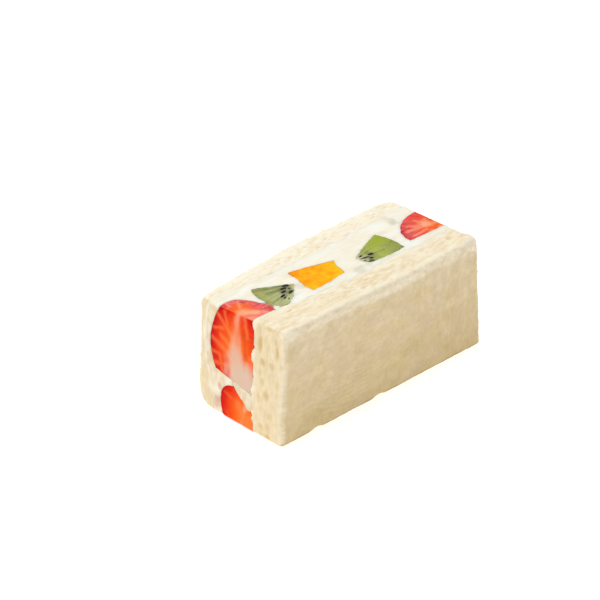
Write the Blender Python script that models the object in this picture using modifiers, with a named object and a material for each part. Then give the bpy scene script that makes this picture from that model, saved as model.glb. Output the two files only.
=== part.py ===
"""Half of a fruit sandwich, lying with its cut face up: two slices of crustless white bread,
whipped cream between them, and the strawberries, kiwi and mango that the knife went through.
Metres, +Z up. X runs along the cut, Y from the near slice to the far slice."""

import math

import bmesh
import bpy
from mathutils import Matrix, Vector, noise

MM = 0.001

# The straight block: a slice's side, two slices with their filling, and half a slice's width.
LENGTH = 108.0 * MM
THICKNESS = 45.6 * MM
HEIGHT = 46.2 * MM

# The block stands with its own box centred on the origin, and this carries it there.
BLOCK_Y = -1.7 * MM

# How far each top corner has settled from the straight block, by its side in x and y.
TOP_CORNER_SHIFT = {
    (-1, -1): Vector((1.6, -0.6, 1.1)) * MM,
    (-1, 1): Vector((0.8, -1.6, -1.2)) * MM,
    (1, -1): Vector((-2.0, 2.1, -0.3)) * MM,
    (1, 1): Vector((-3.3, 3.8, 0.5)) * MM,
}
FAR_SIDE_BULGE = 2.1 * MM
SWELL = 0.35 * MM
SWELL_LENGTH = 24.0 * MM

# Rounded edges, by radius. The four that run along X, by their side in y and z.
ROUND_LONG = {(-1, -1): 1.3 * MM, (-1, 1): 2.2 * MM, (1, -1): 6.5 * MM, (1, 1): 2.4 * MM}
# Those round each end face, by the end's side in x: its near, far, lower and upper edge.
ROUND_END = {
    -1: (2.0 * MM, 2.6 * MM, 0.8 * MM, 1.5 * MM),
    1: (2.6 * MM, 5.0 * MM, 0.8 * MM, 1.5 * MM),
}
# The faces are cut at these shares of a radius from each edge, but nowhere closer than CLOSEST.
ROUND_SHARES = (0.25, 0.6, 1.0)
CLOSEST = 0.35 * MM

# Where each slice meets the cream, as y at a few places along the block.
NEAR_FACE_ALONG = ((-54, -6.2), (-43, -6.5), (-36, -8.1), (-20, -8.9), (0, -9.6), (40, -10.0), (54, -9.0))
FAR_FACE_ALONG = ((-54, 14.4), (-28, 13.8), (-8, 12.9), (10, 12.6), (54, 12.8))
# At the near end the far slice is squeezed thin beside the big strawberry, as y at a few heights.
FAR_FACE_NEAR_END = ((0, 12.7), (7, 13.2), (16, 15.6), (24, 18.2), (32, 18.5), (40, 17.7), (46, 15.8))
SQUEEZE_REACH = 26.0 * MM

# The narrow gap that pieces keep to each other, and how large the faces' cells are.
GAP = 0.3 * MM
CELL = 9.2 * MM
SLAB_ROW = 5.8 * MM

# Slabs and fruit are made larger than the block by this much, and the block then trims them.
SPARE = 6.0 * MM
FAR_AWAY = 40.0 * MM

# Nicks that the board left in the near slice's lower edge: where along X, and their half sizes.
NICKS = (-36.0 * MM, -3.5 * MM)
NICK_SIZE = Vector((3.6, 2.2, 1.0)) * MM

# The strawberries, in millimetres: their centre, half widths along X and Y, reach up and down from
# the centre, and a plane that they are flat against, with the side that is missing. One of them has
# a shoulder, a fuller place in the direction given.
BERRIES = {
    "strawberry_corner": {
        "centre": (-51.4, 2.4, 29.5), "half_widths": (12.6, 14.3), "up": 21.5, "down": 17.0,
        "flat_at": (-54.0, 2.0, 16.6), "missing": (0.0, 0.18, -1.0),
        "shoulder": (0.58, -0.68, 0.45),
    },
    "strawberry_low": {
        "centre": (-53.2, 0.0, 8.6), "half_widths": (10.0, 10.3), "up": 7.0, "down": 14.0,
        "flat_at": (-54.0, 0.0, 12.6), "missing": (0.0, -0.67, 0.74),
    },
    "strawberry_far": {
        "centre": (53.0, -9.0, 38.0), "half_widths": (21.8, 18.2), "up": 24.0, "down": 19.5,
        "flat_at": (54.0, -7.3, 46.2), "missing": (-0.05, -1.0, 0.0),
    },
    "strawberry_far_low": {
        "centre": (53.2, 2.2, 6.4), "half_widths": (11.5, 8.8), "up": 8.6, "down": 13.0,
        "flat_at": (54.0, 2.2, 13.0), "missing": (0.1, -0.2, 1.0),
    },
}
BERRY_LUMPS = 0.05
SHOULDER = 0.19
BERRY_SIDES = 26
BERRY_RINGS = 15

# The pieces cut to an outline that shows in the cut face, in millimetres: the arc of a kiwi's skin
# by centre, radius and angles, the corners that follow it, how deep the piece reaches, and how far
# it leans along X and Y for each millimetre down.
CUT_PIECES = {
    "kiwi_near": {
        "skin": ((-21.5, 0.7), 19.6, 146, 201),
        "corners": ((-34.6, -6.6), (-31.0, -4.9), (-23.2, 2.3)),
        "depth": 7.0, "lean": (0.35, 0.0),
    },
    "kiwi_far": {
        "skin": ((6.8, -1.6), 22.2, -17, 23),
        "corners": ((16.6, 3.6), (7.2, -0.8), (7.5, -4.8), (9.6, -7.4), (18.0, -8.3)),
        "depth": 7.0, "lean": (0.0, 0.1),
    },
    "mango": {
        "skin": None,
        "corners": (
            (-19.0, 10.2), (-10.2, 8.0), (0.6, 4.1), (-1.6, 0.4), (-3.5, -5.4),
            (-13.6, -6.6), (-22.0, -6.7), (-22.6, -2.6), (-20.4, 3.8),
        ),
        "depth": 11.0, "lean": (0.2, 0.1),
    },
}
SKIN_STEP = 9.0
PIECE_EDGE = 0.7 * MM

# Colours as linear red, green and blue, with a roughness.
COLOURS = {
    "bread": ((0.90, 0.80, 0.60), 0.85),
    "cream": ((0.94, 0.91, 0.80), 0.45),
    "strawberry": ((0.75, 0.04, 0.02), 0.35),
    "kiwi": ((0.32, 0.42, 0.07), 0.35),
    "mango": ((1.0, 0.38, 0.01), 0.40),
}


def clear_scene():
    for old in list(bpy.data.objects):
        bpy.data.objects.remove(old)


def new_collection(name):
    collection = bpy.data.collections.new(name)
    bpy.context.scene.collection.children.link(collection)
    return collection


def new_material(name, colour, roughness):
    material = bpy.data.materials.new(name)
    material.use_nodes = True
    shader = material.node_tree.nodes["Principled BSDF"]
    shader.inputs["Base Color"].default_value = (*colour, 1.0)
    shader.inputs["Roughness"].default_value = roughness
    shader.inputs["Metallic"].default_value = 0.0
    return material


def new_object(name, bm, collection):
    """Turns a bmesh into an object with its faces pointing out."""
    bmesh.ops.recalc_face_normals(bm, faces=bm.faces)
    mesh = bpy.data.meshes.new(name)
    bm.to_mesh(mesh)
    bm.free()
    obj = bpy.data.objects.new(name, mesh)
    collection.objects.link(obj)
    return obj


def as_cutter(obj):
    obj.hide_render = True
    obj.display_type = "WIRE"
    return obj


def add_boolean(obj, operation, other):
    modifier = obj.modifiers.new(f"{operation.lower()}_{other.name}", "BOOLEAN")
    modifier.operation = operation
    modifier.solver = "EXACT"
    modifier.object = other
    return modifier


def between(points, value):
    """Straight lines between points given in millimetres, read at a value in metres."""
    at = value / MM
    for (x0, y0), (x1, y1) in zip(points, points[1:]):
        if at <= x1:
            share = max(0.0, (at - x0) / (x1 - x0))
            return (y0 + (y1 - y0) * share) * MM
    return points[-1][1] * MM


def ease(share):
    share = min(1.0, max(0.0, share))
    return share * share * (3.0 - 2.0 * share)


def near_face(x, z):
    """Where the near slice meets the filling."""
    return between(NEAR_FACE_ALONG, x)


def far_face(x, z):
    """Where the far slice meets the filling, squeezed at the near end."""
    squeezed = ease(1.0 - (x + LENGTH / 2) / SQUEEZE_REACH)
    plain = between(FAR_FACE_ALONG, x)
    return plain + (between(FAR_FACE_NEAR_END, z) - plain) * squeezed


def even_places(low, high, cell):
    """Places from low to high, evenly spaced and about a cell apart."""
    count = round((high - low) / cell)
    return [low + (high - low) * step / count for step in range(count + 1)]


def rounded_places(low, high, low_radii, high_radii):
    """Places from low to high, about a cell apart and closer near its rounded ends."""
    places = even_places(low, high, CELL)
    for share in ROUND_SHARES:
        places += [low + radius * share for radius in low_radii]
        places += [high - radius * share for radius in high_radii]
    kept = [low]
    for place in sorted(places):
        if place - kept[-1] > CLOSEST and high - place > CLOSEST:
            kept.append(place)
    return [*kept, high]


def cell_box(places):
    """A closed box whose faces are cut at the places given for each axis."""
    bm = bmesh.new()
    lows = Vector([along[0] for along in places])
    highs = Vector([along[-1] for along in places])
    matrix = Matrix.Translation((highs + lows) / 2) @ Matrix.Diagonal((*(highs - lows), 1.0))
    bmesh.ops.create_cube(bm, size=1.0, matrix=matrix)
    for axis in range(3):
        normal = Vector([float(axis == other) for other in range(3)])
        for place in places[axis][1:-1]:
            geometry = [*bm.verts, *bm.edges, *bm.faces]
            bmesh.ops.bisect_plane(bm, geom=geometry, plane_co=normal * place, plane_no=normal)
    return bm


def round_long_edge(point):
    """Draws a point near one of the four long edges in onto that edge's round."""
    side_y = 1 if point.y > 0 else -1
    side_z = 1 if point.z > HEIGHT / 2 else -1
    radius = ROUND_LONG[side_y, side_z]
    centre = Vector((side_y * (THICKNESS / 2 - radius), HEIGHT / 2 + side_z * (HEIGHT / 2 - radius)))
    out = Vector(((point.y - centre.x) * side_y, (point.z - centre.y) * side_z))
    if min(out) > 0:
        out *= max(out) / out.length
        point = Vector((point.x, centre.x + side_y * out.x, centre.y + side_z * out.y))
    return point


def inset(radius, from_end):
    """How far a rounded rim has drawn in, at a distance from the end face."""
    short = min(radius, max(0.0, radius - from_end))
    return radius - math.sqrt(radius * radius - short * short)


def round_end(point):
    """Draws the section in towards the nearer end, by its own radius on each of four sides."""
    end = 1 if point.x > 0 else -1
    from_end = LENGTH / 2 - abs(point.x)
    near, far, lower, upper = [inset(radius, from_end) for radius in ROUND_END[end]]
    y = near + (point.y / THICKNESS + 0.5) * (THICKNESS - near - far) - THICKNESS / 2
    z = lower + point.z / HEIGHT * (HEIGHT - lower - upper)
    return Vector((point.x, y, z))


def swell(point):
    """The small rise and fall of soft bread, nothing at the base that it stands on."""
    at = point / SWELL_LENGTH
    apart = Vector((9.3, 4.1, 7.7))
    lift = SWELL * ease(point.z / CELL)
    return Vector([noise.noise(at + apart * axis) * lift for axis in range(3)])


def make_block(cutters):
    """The shape the knife leaves: rounded edges, a full far side and slightly uneven faces."""
    long_radii = ROUND_LONG
    bm = cell_box([
        rounded_places(-LENGTH / 2, LENGTH / 2, ROUND_END[-1], ROUND_END[1]),
        rounded_places(
            -THICKNESS / 2, THICKNESS / 2,
            (long_radii[-1, -1], long_radii[-1, 1]), (long_radii[1, -1], long_radii[1, 1]),
        ),
        rounded_places(
            0.0, HEIGHT,
            (long_radii[-1, -1], long_radii[1, -1]), (long_radii[-1, 1], long_radii[1, 1]),
        ),
    ])
    for vert in bm.verts:
        vert.co = round_end(round_long_edge(vert.co))
        vert.co += swell(vert.co)
        along = vert.co.x / (LENGTH / 2)
        across = max(0.0, vert.co.y / (THICKNESS / 2))
        vert.co.y += FAR_SIDE_BULGE * across * (1.0 - along * along)
    return as_cutter(new_object("block", bm, cutters))


def make_slab(name, collection, low, high):
    """A slab through the whole block, its broad faces at y = low(x, z) and y = high(x, z).
    Their cells are split along one diagonal, so that two slabs that share a face keep their gap."""
    end = LENGTH / 2 + SPARE
    bm = cell_box([
        even_places(-end, end, CELL),
        (-1.0 * MM, 1.0 * MM),
        even_places(-SPARE, HEIGHT + SPARE, SLAB_ROW),
    ])
    for face in [face for face in bm.faces if abs(face.normal.y) > 0.5]:
        corners = sorted(face.verts, key=lambda vert: vert.co.x + vert.co.z)
        bmesh.utils.face_split(face, corners[0], corners[-1])
    for vert in bm.verts:
        face = low if vert.co.y < 0 else high
        vert.co.y = face(vert.co.x, vert.co.z)
    return new_object(name, bm, collection)


def slice_off(bm, point, normal):
    """Cuts away what lies beyond a plane and closes the cut with one flat face."""
    geometry = [*bm.verts, *bm.edges, *bm.faces]
    cut = bmesh.ops.bisect_plane(
        bm, geom=geometry, plane_co=point, plane_no=normal, clear_outer=True
    )
    rim = [part for part in cut["geom_cut"] if isinstance(part, bmesh.types.BMEdge)]
    bmesh.ops.contextual_create(bm, geom=rim)


def make_berry(name, berry, collection):
    """A strawberry with an upright axis: an uneven egg of two half lengths, flat on one side."""
    centre = Vector(berry["centre"]) * MM
    width_x, width_y = berry["half_widths"]
    bm = bmesh.new()
    bmesh.ops.create_uvsphere(bm, u_segments=BERRY_SIDES, v_segments=BERRY_RINGS, radius=1.0)
    for vert in bm.verts:
        length = berry["up"] if vert.co.z > 0 else berry["down"]
        lumps = 1.0 + BERRY_LUMPS * noise.noise(vert.co * 1.6 + centre * 40.0)
        if "shoulder" in berry:
            lumps += SHOULDER * ease((vert.co.dot(Vector(berry["shoulder"])) - 0.75) / 0.2)
        vert.co = Vector((vert.co.x * width_x, vert.co.y * width_y, vert.co.z * length))
        vert.co = centre + vert.co * lumps * MM
    slice_off(bm, Vector(berry["flat_at"]) * MM, Vector(berry["missing"]))
    return new_object(name, bm, collection)


def arc(centre, radius, start, end):
    """Points along an arc in the cut face, by angles in degrees from +X towards +Y."""
    steps = round(abs(end - start) / SKIN_STEP)
    points = []
    for step in range(steps + 1):
        angle = math.radians(start + (end - start) * step / steps)
        points.append((centre[0] + radius * math.cos(angle), centre[1] + radius * math.sin(angle)))
    return points


def make_cut_piece(name, piece, collection):
    """A piece cut to its outline, from above the cut face down to its depth, with soft edges."""
    skin = arc(*piece["skin"]) if piece["skin"] else []
    down = Vector((*piece["lean"], -1.0))
    bm = bmesh.new()
    top = [
        Vector((x * MM, y * MM, HEIGHT)) - down * SPARE
        for x, y in [*skin, *piece["corners"]]
    ]
    face = bm.faces.new([bm.verts.new(corner) for corner in top])
    grown = bmesh.ops.extrude_face_region(bm, geom=[face])
    lowered = [part for part in grown["geom"] if isinstance(part, bmesh.types.BMVert)]
    bmesh.ops.translate(bm, verts=lowered, vec=down * (piece["depth"] * MM + SPARE))
    obj = new_object(name, bm, collection)
    bevel = obj.modifiers.new("soft_edges", "BEVEL")
    bevel.width = PIECE_EDGE
    bevel.segments = 2
    bevel.limit_method = "ANGLE"
    bevel.angle_limit = math.radians(40)
    return obj


def make_fruit(collection):
    """Every piece of fruit, as it lay before the cut."""
    berries = [make_berry(name, berry, collection) for name, berry in BERRIES.items()]
    pieces = [make_cut_piece(name, piece, collection) for name, piece in CUT_PIECES.items()]
    return [*berries, *pieces]


def make_cavity(fruit, collection):
    """The hollow that the cream keeps round a piece of fruit: the same shape, a gap wider."""
    cavity = fruit.copy()
    cavity.name = f"{fruit.name}_hollow"
    collection.objects.link(cavity)
    grow = cavity.modifiers.new("gap", "DISPLACE")
    grow.strength = GAP * 1.15
    grow.mid_level = 0.0
    return as_cutter(cavity)


def make_nick(x, cutters):
    bm = bmesh.new()
    place = Matrix.Translation((x, -THICKNESS / 2, 0.0)) @ Matrix.Diagonal((*NICK_SIZE, 1.0))
    bmesh.ops.create_uvsphere(bm, u_segments=10, v_segments=6, radius=1.0, matrix=place)
    return as_cutter(new_object("nick", bm, cutters))


def make_lean(cutters):
    """A cage of eight corners whose top ones are shifted, so that the block sits a little askew."""
    cage = bpy.data.lattices.new("lean")
    cage.points_u = cage.points_v = cage.points_w = 2
    cage.interpolation_type_u = cage.interpolation_type_v = cage.interpolation_type_w = "KEY_LINEAR"
    obj = bpy.data.objects.new("lean", cage)
    obj.location = (0.0, 0.0, HEIGHT / 2)
    obj.scale = (LENGTH, THICKNESS, HEIGHT)
    cutters.objects.link(obj)
    for point in cage.points:
        corner = Vector(point.co)
        if corner.z > 0:
            side = (int(math.copysign(1, corner.x)), int(math.copysign(1, corner.y)))
            shift = TOP_CORNER_SHIFT[side]
            point.co_deform = corner + Vector(
                (shift.x / LENGTH, shift.y / THICKNESS, shift.z / HEIGHT)
            )
    return obj


def build():
    clear_scene()
    parts = new_collection("fruit_sandwich_half")
    cutters = new_collection("cutters")
    materials = {name: new_material(name, *look) for name, look in COLOURS.items()}

    block = make_block(cutters)
    near = make_slab("bread_near", parts, lambda x, z: -FAR_AWAY, near_face)
    far = make_slab("bread_far", parts, far_face, lambda x, z: FAR_AWAY)
    cream = make_slab(
        "cream", parts, lambda x, z: near_face(x, z) + GAP, lambda x, z: far_face(x, z) - GAP
    )
    for slab in (near, far, cream):
        add_boolean(slab, "INTERSECT", block)
    for x in NICKS:
        add_boolean(near, "DIFFERENCE", make_nick(x, cutters))

    filling = cream.copy()
    filling.name = "filling"
    cutters.objects.link(as_cutter(filling))

    fruit = make_fruit(parts)
    for piece in fruit:
        add_boolean(cream, "DIFFERENCE", make_cavity(piece, cutters))
        add_boolean(piece, "INTERSECT", filling)

    lean = make_lean(cutters)
    for obj in (near, far, cream, *fruit):
        modifier = obj.modifiers.new("lean", "LATTICE")
        modifier.object = lean
        kind = obj.name.split("_")[0]
        obj.data.materials.append(materials[kind])

    stand = bpy.data.objects.new("stand", None)
    stand.location = (0.0, BLOCK_Y, 0.0)
    parts.objects.link(stand)
    for obj in (near, far, cream, *fruit, *cutters.objects):
        obj.parent = stand


build()
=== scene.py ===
# %% [markdown]
# Half of a fruit sandwich, cut face up: two slices of white bread without their crusts, whipped
# cream between them, and the strawberries, kiwi and mango that the knife went through. Food has
# no hard parts to bolt together, so nearly everything the eye reads is surface: the torn bubbles
# of the crumb, the smears of the cream and the grain of wet fruit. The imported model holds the
# sizes and places. This script gives each of its pieces a dense skin of its own, models the
# relief into that skin, and then shades it.

# %% The frame
import itertools
import math
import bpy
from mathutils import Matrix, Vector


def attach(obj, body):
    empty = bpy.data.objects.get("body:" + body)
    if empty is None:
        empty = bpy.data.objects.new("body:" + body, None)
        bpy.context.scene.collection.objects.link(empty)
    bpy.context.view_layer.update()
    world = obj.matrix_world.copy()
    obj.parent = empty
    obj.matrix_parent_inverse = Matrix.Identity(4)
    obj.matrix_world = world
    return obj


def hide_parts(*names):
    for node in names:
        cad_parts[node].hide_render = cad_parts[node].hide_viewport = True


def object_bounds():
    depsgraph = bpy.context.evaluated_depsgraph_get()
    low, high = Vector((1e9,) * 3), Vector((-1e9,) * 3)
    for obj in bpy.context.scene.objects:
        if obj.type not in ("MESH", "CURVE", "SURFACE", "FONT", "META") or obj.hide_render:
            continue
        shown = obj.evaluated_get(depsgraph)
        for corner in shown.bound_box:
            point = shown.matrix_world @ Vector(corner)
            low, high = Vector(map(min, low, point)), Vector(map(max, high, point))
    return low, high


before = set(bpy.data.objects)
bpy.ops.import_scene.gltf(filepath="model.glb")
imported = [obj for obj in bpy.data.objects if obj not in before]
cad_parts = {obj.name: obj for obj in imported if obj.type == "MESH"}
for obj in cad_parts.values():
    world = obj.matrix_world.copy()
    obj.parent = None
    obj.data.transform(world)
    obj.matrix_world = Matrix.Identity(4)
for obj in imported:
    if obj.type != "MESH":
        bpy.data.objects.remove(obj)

from types import SimpleNamespace

import bmesh
import bpy
import numpy as np
from mathutils import Matrix, Vector
from mathutils.bvhtree import BVHTree

MM = 0.001
cad_low, cad_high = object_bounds()
print("the sandwich measures", [round(side / MM, 1) for side in cad_high - cad_low], "mm")

# %% [markdown]
# The real half was a straight block when the knife left it, and then it settled: each of its top
# corners moved a few millimetres. Patterns are easiest to describe on the straight block, where
# the cut face is flat and the slices stand upright. Moving the pattern with the block could be
# done with a lattice, but a few lines of arithmetic that undo the lean give every point its place
# in the straight block, and all the patterns below are written in those millimetres.

# %% From the settled block back to the straight one
LENGTH, THICKNESS, HEIGHT = 108.0, 45.6, 46.2
BLOCK_Y = -1.7
TOP_CORNER_SHIFT = {
    (-1, -1): (1.6, -0.6, 1.1),
    (-1, 1): (0.8, -1.6, -1.2),
    (1, -1): (-2.0, 2.1, -0.3),
    (1, 1): (-3.3, 3.8, 0.5),
}


def lean(straight):
    """How far the block's settling carries each point."""
    along, across, up = (straight / (LENGTH, THICKNESS, HEIGHT) + (0.5, 0.5, 0.0)).T
    carried = np.zeros_like(straight)
    for (side_x, side_y), shift in TOP_CORNER_SHIFT.items():
        share_x = along if side_x > 0 else 1.0 - along
        share_y = across if side_y > 0 else 1.0 - across
        carried += (share_x * share_y * up)[:, None] * shift
    return carried


def straighten(world):
    """Millimetres in the straight block, for points in metres on the settled one."""
    settled = world / MM - (0.0, BLOCK_Y, 0.0)
    straight = settled
    for _ in range(4):
        straight = settled - lean(straight)
    return straight


def settle(straight):
    """The way back: metres on the settled block, for millimetres in the straight one."""
    straight = np.asarray(straight, float)
    return (straight + lean(straight) + (0.0, BLOCK_Y, 0.0)) * MM


# %% [markdown]
# Soft food has no two bubbles or smears alike, so its relief is drawn from noise. Two kinds do
# nearly all of it. Waves are smooth hills and hollows. Pits are round bubbles, one for each cell
# of a grid, and only in a share of the cells. Both take a size in millimetres for each axis, so a
# bubble that the baker stretched is a cell longer one way than the other. The draws come from the
# cell's own number and not from a dice roll, so they are the same on every run.

# %% Waves and pits
def ease(share):
    """Turns a share that may run outside 0 to 1 into a smooth step from 0 to 1."""
    share = np.clip(share, 0.0, 1.0)
    return share * share * (3.0 - 2.0 * share)


def draw(cells, seed):
    """A fixed random number from 0 to 1 for each whole-numbered cell."""
    x, y, z = cells.astype(np.int64).T
    mixed = (x * 73856093) ^ (y * 19349663) ^ (z * 83492791) ^ (seed * 2654435761)
    mixed = (mixed ^ (mixed >> 13)) * 1274126177
    return ((mixed ^ (mixed >> 16)) & 0xFFFFFF) / 0xFFFFFF


def waves(at, size, seed, octaves=1):
    """Hills and hollows from about -1 to 1, each octave half as large and half as strong."""
    height = np.zeros(len(at))
    for octave in range(octaves):
        grid = at / size * 2.0 ** octave
        corner = np.floor(grid)
        share = ease(grid - corner)
        for offset in itertools.product((0, 1), repeat=3):
            near = np.prod(np.where(offset, share, 1.0 - share), axis=1)
            height += near * (draw(corner + offset, seed + octave) * 2.0 - 1.0) / 2.0 ** octave
    return height


def pits(at, cell, share, seed):
    """How deep each point lies in a bubble, from 0 outside to 1 in its middle."""
    grid = at / cell
    home = np.floor(grid)
    deepest = np.zeros(len(at))
    for offset in itertools.product((-1, 0, 1), repeat=3):
        there = home + offset
        middle = there + np.column_stack([draw(there, seed + axis) for axis in range(3)])
        radius = np.where(draw(there, seed + 3) < share, 0.35 + 0.4 * draw(there, seed + 4), 1e-6)
        apart = np.linalg.norm(grid - middle, axis=1)
        deepest = np.maximum(deepest, ease(1.0 - apart / radius))
    return deepest


# %% [markdown]
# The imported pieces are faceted, with faces up to nine millimetres wide, too coarse to carry a
# bubble. Subdividing them would keep their long thin triangles. A voxel remesh gives even quads
# of one chosen size instead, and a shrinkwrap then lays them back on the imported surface, so the
# form stays what it was. A few rounds of smoothing take the facets out of what is soft.

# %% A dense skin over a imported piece
def add_object(name, data):
    """A new object in the scene, round a mesh, a camera or a lamp."""
    thing = bpy.data.objects.new(name, data)
    bpy.context.scene.collection.objects.link(thing)
    return thing


def welded(node):
    """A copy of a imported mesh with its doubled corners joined."""
    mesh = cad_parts[node].data.copy()
    bm = bmesh.new()
    bm.from_mesh(mesh)
    bmesh.ops.remove_doubles(bm, verts=bm.verts, dist=1e-6)
    bm.to_mesh(mesh)
    bm.free()
    mesh.materials.clear()
    return mesh


def skin_over(node, name, grain, relax):
    """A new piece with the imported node's form, in quads of a size in millimetres."""
    piece = add_object(name, welded(node))
    remesh = piece.modifiers.new("even_quads", "REMESH")
    remesh.mode = "VOXEL"
    remesh.voxel_size = grain * MM
    cling = piece.modifiers.new("cling", "SHRINKWRAP")
    cling.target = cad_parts[node]
    cling.wrap_method = "NEAREST_SURFACEPOINT"
    soften = piece.modifiers.new("soften", "SMOOTH")
    soften.factor = 0.5
    soften.iterations = relax
    depsgraph = bpy.context.evaluated_depsgraph_get()
    piece.data = bpy.data.meshes.new_from_object(piece.evaluated_get(depsgraph))
    piece.modifiers.clear()
    piece.data.name = name
    piece.data.shade_smooth()
    return piece


def read(piece):
    """The mesh's points and normals, as one row of each for each vertex."""
    points = np.empty(len(piece.data.vertices) * 3)
    normals = np.empty(len(piece.data.vertices) * 3)
    piece.data.vertices.foreach_get("co", points)
    piece.data.vertex_normals.foreach_get("vector", normals)
    return points.reshape(-1, 3), normals.reshape(-1, 3)


def write(piece, points):
    """Moves the mesh's points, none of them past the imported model's box."""
    inside = np.clip(points, np.array(cad_low), np.array(cad_high))
    piece.data.vertices.foreach_set("co", inside.ravel())
    piece.data.update()


def paint(piece, **layers):
    """Stores one number for each vertex under each name, for a material to read."""
    for name, values in layers.items():
        attribute = piece.data.attributes.new(name, "FLOAT", "POINT")
        attribute.data.foreach_set("value", values.astype(np.float32))


def hand_over(piece, slot, material, *nodes):
    """The piece gets its material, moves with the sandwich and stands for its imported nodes."""
    piece.data.materials.append(material)
    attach(piece, "root")
    if nodes:
        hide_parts(*nodes)
    print(piece.name, "has", len(piece.data.polygons), "faces")


# %% [markdown]
# The photograph looks down on the sandwich from the left of its near end, from about 0.8 m away
# with a long lens. The angles were found by fitting the block's corners, and the camera looks
# along them without any shift.

# %% The camera
CAMERA_AT = (-471.06, -466.13, 402.95)
AZIMUTH, ELEVATION = math.radians(-43.99), math.radians(29.35)

camera = add_object("camera", bpy.data.cameras.new("camera"))
bpy.context.scene.camera = camera
camera.data.lens = 121.6
camera.data.sensor_width = 36.0
camera.location = Vector(CAMERA_AT) * MM
back = Vector((
    math.sin(AZIMUTH) * math.cos(ELEVATION),
    -math.cos(AZIMUTH) * math.cos(ELEVATION),
    math.sin(ELEVATION),
))
camera.rotation_euler = (-back).to_track_quat("-Z", "Y").to_euler()

# %% [markdown]
# Every material below is a small graph of nodes round one Principled shader. One function adds a
# node with its settings and its links, so that each graph reads as a list. Colours are written as
# the sRGB hex that a painting program shows, and turned to the linear light that shaders work in.

# %% Materials from nodes
def linear(hex_colour):
    """Linear red, green, blue and alpha of an sRGB colour such as "F4E3C1"."""
    parts = [int(hex_colour[start:start + 2], 16) / 255.0 for start in (0, 2, 4)]
    return (*[p / 12.92 if p <= 0.04045 else ((p + 0.055) / 1.055) ** 2.4 for p in parts], 1.0)


def add_node(tree, kind, links=None, stops=None, **settings):
    """Adds a node. Settings are its properties, links its inputs: a value, or a node and output."""
    node = tree.nodes.new(kind)
    for name, value in settings.items():
        setattr(node, name, value)
    for socket, value in (links or {}).items():
        if isinstance(value, tuple) and isinstance(value[0], bpy.types.Node):
            tree.links.new(value[0].outputs[value[1]], node.inputs[socket])
        else:
            node.inputs[socket].default_value = value
    for number, (place, colour) in enumerate(stops or ()):
        points = node.color_ramp.elements
        point = points[number] if number < len(points) else points.new(place)
        point.position = place
        point.color = linear(colour)
    return node


def new_material(name, **shader_values):
    """A material with its tree, its shader with constant values set, and its texture places."""
    material = bpy.data.materials.new(name)
    material.use_nodes = True
    tree = material.node_tree
    shader = tree.nodes["Principled BSDF"]
    for socket, value in shader_values.items():
        shader.inputs[socket.replace("_", " ")].default_value = value
    place = add_node(tree, "ShaderNodeTexCoord")
    return material, tree, shader, (place, "Object")


def finish(tree, shader, colour, bump):
    """Links the finished colour, a node and its output, and the bump to the shader."""
    node, output = colour
    tree.links.new(node.outputs[output], shader.inputs["Base Color"])
    tree.links.new(bump.outputs["Normal"], shader.inputs["Normal"])
    print("a graph of", len(tree.nodes), "nodes")


# %% [markdown]
# The bread is a soft white loaf, sliced, with its crusts cut off. Its crumb is an open foam of starch:
# matt, faintly translucent, cream-white where it bulges and ochre down in its bubbles, an ochre that
# is partly the crumb's own tone and partly painted shade in the hollows.
# A flat noise colour would look like cork, so the bubbles are modelled into the skin, and their depth
# is stored on it as a number that the material reads. The broad face is the closed side of the slice,
# a darker tan that shifts between a pinkish and a yellowish tone; the tan is partly its own colour and
# partly painted shade, and it is painted darker towards the bottom. The finest grain of real crumb is
# about 0.2 mm, too fine to show, so the bump draws it at 0.6 mm.

# %% White bread crumb: sponge that light goes a little way into
bread, tree, shader, place = new_material(
    "white_bread_crumb", Roughness=0.9, IOR=1.4, Specular_IOR_Level=0.2, Subsurface_Weight=0.3,
    Subsurface_Scale=1.2 * MM,
)
shader.inputs["Subsurface Radius"].default_value = (1.0, 0.8, 0.5)
GRAIN = 0.6

tone, warm, pore, broad, pale = [
    add_node(tree, "ShaderNodeAttribute", attribute_name=name)
    for name in ("tone", "warm", "pore", "broad", "pale")
]
grain = add_node(
    tree, "ShaderNodeTexNoise",
    {"Vector": place, "Scale": 1.0 / (GRAIN * MM), "Detail": 3.0, "Roughness": 0.6},
)
grained = add_node(
    tree, "ShaderNodeMath", {0: (grain, "Fac"), 1: 0.3, 2: (tone, "Fac")}, operation="MULTIPLY_ADD"
)
# The closed-face ramps are darker than the cut face's, partly as the closed crumb's own tan and partly
# as painted shade; their lowest stops carry the painted contact shadow at the foot.
cut_face, pinkish, yellowish = [
    add_node(tree, "ShaderNodeValToRGB", {"Fac": (grained, "Value")}, stops=stops)
    for stops in (
        ((0.0, "DCC8A2"), (0.35, "EBD9B4"), (0.65, "F5E8CC"), (1.0, "FCF5E4")),
        ((0.0, "A08C70"), (0.2, "CAB28A"), (0.6, "DECAA8"), (1.0, "F4E6CE")),
        ((0.0, "9E8A68"), (0.2, "C8B07C"), (0.6, "DDC99C"), (1.0, "F3E6C4")),
    )
]
closed_face = add_node(
    tree, "ShaderNodeMix",
    {"Factor": (warm, "Fac"), "A": (pinkish, "Color"), "B": (yellowish, "Color")}, data_type="RGBA",
)
crumb = add_node(
    tree, "ShaderNodeMix",
    {"Factor": (broad, "Fac"), "A": (cut_face, "Color"), "B": (closed_face, "Result")},
    data_type="RGBA",
)
colour = (crumb, "Result")
# The pore colour is partly the crumb's own ochre and partly painted shade in the hollows.
for share, over in ((pale, "FAF1DA"), (pore, "D6B478")):
    layer = {"Factor": (share, "Fac"), "A": colour, "B": linear(over)}
    colour = (add_node(tree, "ShaderNodeMix", layer, data_type="RGBA"), "Result")
bump = add_node(tree, "ShaderNodeBump", {"Height": (grain, "Fac"), "Distance": 0.1 * MM})
finish(tree, shader, colour, bump)

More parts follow.
